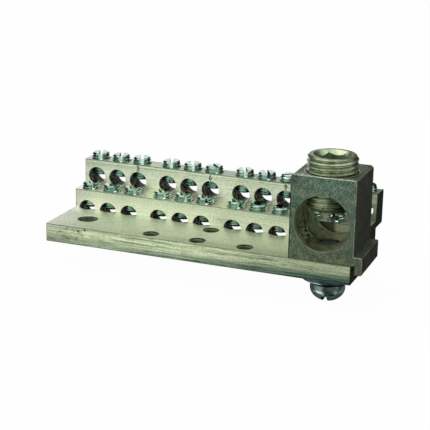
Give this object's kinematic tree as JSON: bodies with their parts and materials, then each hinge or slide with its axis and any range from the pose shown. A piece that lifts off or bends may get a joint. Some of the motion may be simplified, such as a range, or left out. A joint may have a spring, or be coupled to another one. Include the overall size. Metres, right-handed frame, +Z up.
{
  "type": "neutral terminal bar",
  "caption": "Stepped aluminium terminal bar with two rows of slotted wire clamp screws and a large box lug with a hex-socket set screw at one end.",
  "frame": {"origin": "centre of the plain mounting hole, on the underside of the flange", "axes": "+X along the bar towards the lug, +Y from the flange's front edge to the wire rows, +Z up"},
  "size_m": [0.1096, 0.0369, 0.0486],
  "materials": {
    "bar_aluminium": "extruded, satin, with fine lengthwise lines",
    "lug_aluminium": "sawn and tumbled, matte",
    "set_screw_aluminium": "turned, threaded",
    "zinc_steel": "bright zinc plate with a blue-green tint"
  },
  "bodies": {
    "bar": {"stepped_bar": "bar_aluminium", "main_lug": "lug_aluminium", "lug_mounting_screw": "zinc_steel", "lock_washer": "zinc_steel", "flat_washer": "zinc_steel"},
    "lug_set_screw": {"lug_set_screw": "set_screw_aluminium"},
    "upper_terminal_screw_01": {"upper_terminal_screw_01": "zinc_steel"},
    "lower_terminal_screw_01": {"lower_terminal_screw_01": "zinc_steel"},
    "upper_terminal_screw_02": {"upper_terminal_screw_02": "zinc_steel"},
    "lower_terminal_screw_02": {"lower_terminal_screw_02": "zinc_steel"},
    "upper_terminal_screw_03": {"upper_terminal_screw_03": "zinc_steel"},
    "lower_terminal_screw_03": {"lower_terminal_screw_03": "zinc_steel"},
    "upper_terminal_screw_04": {"upper_terminal_screw_04": "zinc_steel"},
    "lower_terminal_screw_04": {"lower_terminal_screw_04": "zinc_steel"},
    "upper_terminal_screw_05": {"upper_terminal_screw_05": "zinc_steel"},
    "lower_terminal_screw_05": {"lower_terminal_screw_05": "zinc_steel"},
    "upper_terminal_screw_06": {"upper_terminal_screw_06": "zinc_steel"},
    "lower_terminal_screw_06": {"lower_terminal_screw_06": "zinc_steel"},
    "upper_terminal_screw_07": {"upper_terminal_screw_07": "zinc_steel"},
    "lower_terminal_screw_07": {"lower_terminal_screw_07": "zinc_steel"},
    "upper_terminal_screw_08": {"upper_terminal_screw_08": "zinc_steel"},
    "lower_terminal_screw_08": {"lower_terminal_screw_08": "zinc_steel"},
    "upper_terminal_screw_09": {"upper_terminal_screw_09": "zinc_steel"},
    "lower_terminal_screw_09": {"lower_terminal_screw_09": "zinc_steel"},
    "upper_terminal_screw_10": {"upper_terminal_screw_10": "zinc_steel"},
    "lower_terminal_screw_10": {"lower_terminal_screw_10": "zinc_steel"},
    "upper_terminal_screw_11": {"upper_terminal_screw_11": "zinc_steel"},
    "lower_terminal_screw_11": {"lower_terminal_screw_11": "zinc_steel"},
    "upper_terminal_screw_12": {"upper_terminal_screw_12": "zinc_steel"},
    "lower_terminal_screw_12": {"lower_terminal_screw_12": "zinc_steel"}
  },
  "joints": [
    {"name": "lug_set_screw_travel", "type": "slide", "parent": "bar", "child": "lug_set_screw", "axis": [0, 0, 1], "range_m": [-0.0072, 0.006]},
    {"name": "upper_screw_01_travel", "type": "slide", "parent": "bar", "child": "upper_terminal_screw_01", "axis": [0, 0, 1], "range_m": [-0.0015, 0.003]},
    {"name": "lower_screw_01_travel", "type": "slide", "parent": "bar", "child": "lower_terminal_screw_01", "axis": [0, 0, 1], "range_m": [-0.0017, 0.0028]},
    {"name": "upper_screw_02_travel", "type": "slide", "parent": "bar", "child": "upper_terminal_screw_02", "axis": [0, 0, 1], "range_m": [-0.0015, 0.003]},
    {"name": "lower_screw_02_travel", "type": "slide", "parent": "bar", "child": "lower_terminal_screw_02", "axis": [0, 0, 1], "range_m": [-0.0017, 0.0028]},
    {"name": "upper_screw_03_travel", "type": "slide", "parent": "bar", "child": "upper_terminal_screw_03", "axis": [0, 0, 1], "range_m": [-0.0015, 0.003]},
    {"name": "lower_screw_03_travel", "type": "slide", "parent": "bar", "child": "lower_terminal_screw_03", "axis": [0, 0, 1], "range_m": [-0.0017, 0.0028]},
    {"name": "upper_screw_04_travel", "type": "slide", "parent": "bar", "child": "upper_terminal_screw_04", "axis": [0, 0, 1], "range_m": [-0.0015, 0.003]},
    {"name": "lower_screw_04_travel", "type": "slide", "parent": "bar", "child": "lower_terminal_screw_04", "axis": [0, 0, 1], "range_m": [-0.0017, 0.0028]},
    {"name": "upper_screw_05_travel", "type": "slide", "parent": "bar", "child": "upper_terminal_screw_05", "axis": [0, 0, 1], "range_m": [-0.0015, 0.003]},
    {"name": "lower_screw_05_travel", "type": "slide", "parent": "bar", "child": "lower_terminal_screw_05", "axis": [0, 0, 1], "range_m": [-0.0017, 0.0028]},
    {"name": "upper_screw_06_travel", "type": "slide", "parent": "bar", "child": "upper_terminal_screw_06", "axis": [0, 0, 1], "range_m": [-0.0015, 0.003]},
    {"name": "lower_screw_06_travel", "type": "slide", "parent": "bar", "child": "lower_terminal_screw_06", "axis": [0, 0, 1], "range_m": [-0.0017, 0.0028]},
    {"name": "upper_screw_07_travel", "type": "slide", "parent": "bar", "child": "upper_terminal_screw_07", "axis": [0, 0, 1], "range_m": [-0.0015, 0.003]},
    {"name": "lower_screw_07_travel", "type": "slide", "parent": "bar", "child": "lower_terminal_screw_07", "axis": [0, 0, 1], "range_m": [-0.0017, 0.0028]},
    {"name": "upper_screw_08_travel", "type": "slide", "parent": "bar", "child": "upper_terminal_screw_08", "axis": [0, 0, 1], "range_m": [-0.0015, 0.003]},
    {"name": "lower_screw_08_travel", "type": "slide", "parent": "bar", "child": "lower_terminal_screw_08", "axis": [0, 0, 1], "range_m": [-0.0017, 0.0028]},
    {"name": "upper_screw_09_travel", "type": "slide", "parent": "bar", "child": "upper_terminal_screw_09", "axis": [0, 0, 1], "range_m": [-0.0015, 0.003]},
    {"name": "lower_screw_09_travel", "type": "slide", "parent": "bar", "child": "lower_terminal_screw_09", "axis": [0, 0, 1], "range_m": [-0.0017, 0.0028]},
    {"name": "upper_screw_10_travel", "type": "slide", "parent": "bar", "child": "upper_terminal_screw_10", "axis": [0, 0, 1], "range_m": [-0.0015, 0.003]},
    {"name": "lower_screw_10_travel", "type": "slide", "parent": "bar", "child": "lower_terminal_screw_10", "axis": [0, 0, 1], "range_m": [-0.0017, 0.0028]},
    {"name": "upper_screw_11_travel", "type": "slide", "parent": "bar", "child": "upper_terminal_screw_11", "axis": [0, 0, 1], "range_m": [-0.0015, 0.003]},
    {"name": "lower_screw_11_travel", "type": "slide", "parent": "bar", "child": "lower_terminal_screw_11", "axis": [0, 0, 1], "range_m": [-0.0017, 0.0028]},
    {"name": "upper_screw_12_travel", "type": "slide", "parent": "bar", "child": "upper_terminal_screw_12", "axis": [0, 0, 1], "range_m": [-0.0015, 0.003]},
    {"name": "lower_screw_12_travel", "type": "slide", "parent": "bar", "child": "lower_terminal_screw_12", "axis": [0, 0, 1], "range_m": [-0.0017, 0.0028]}
  ]
}
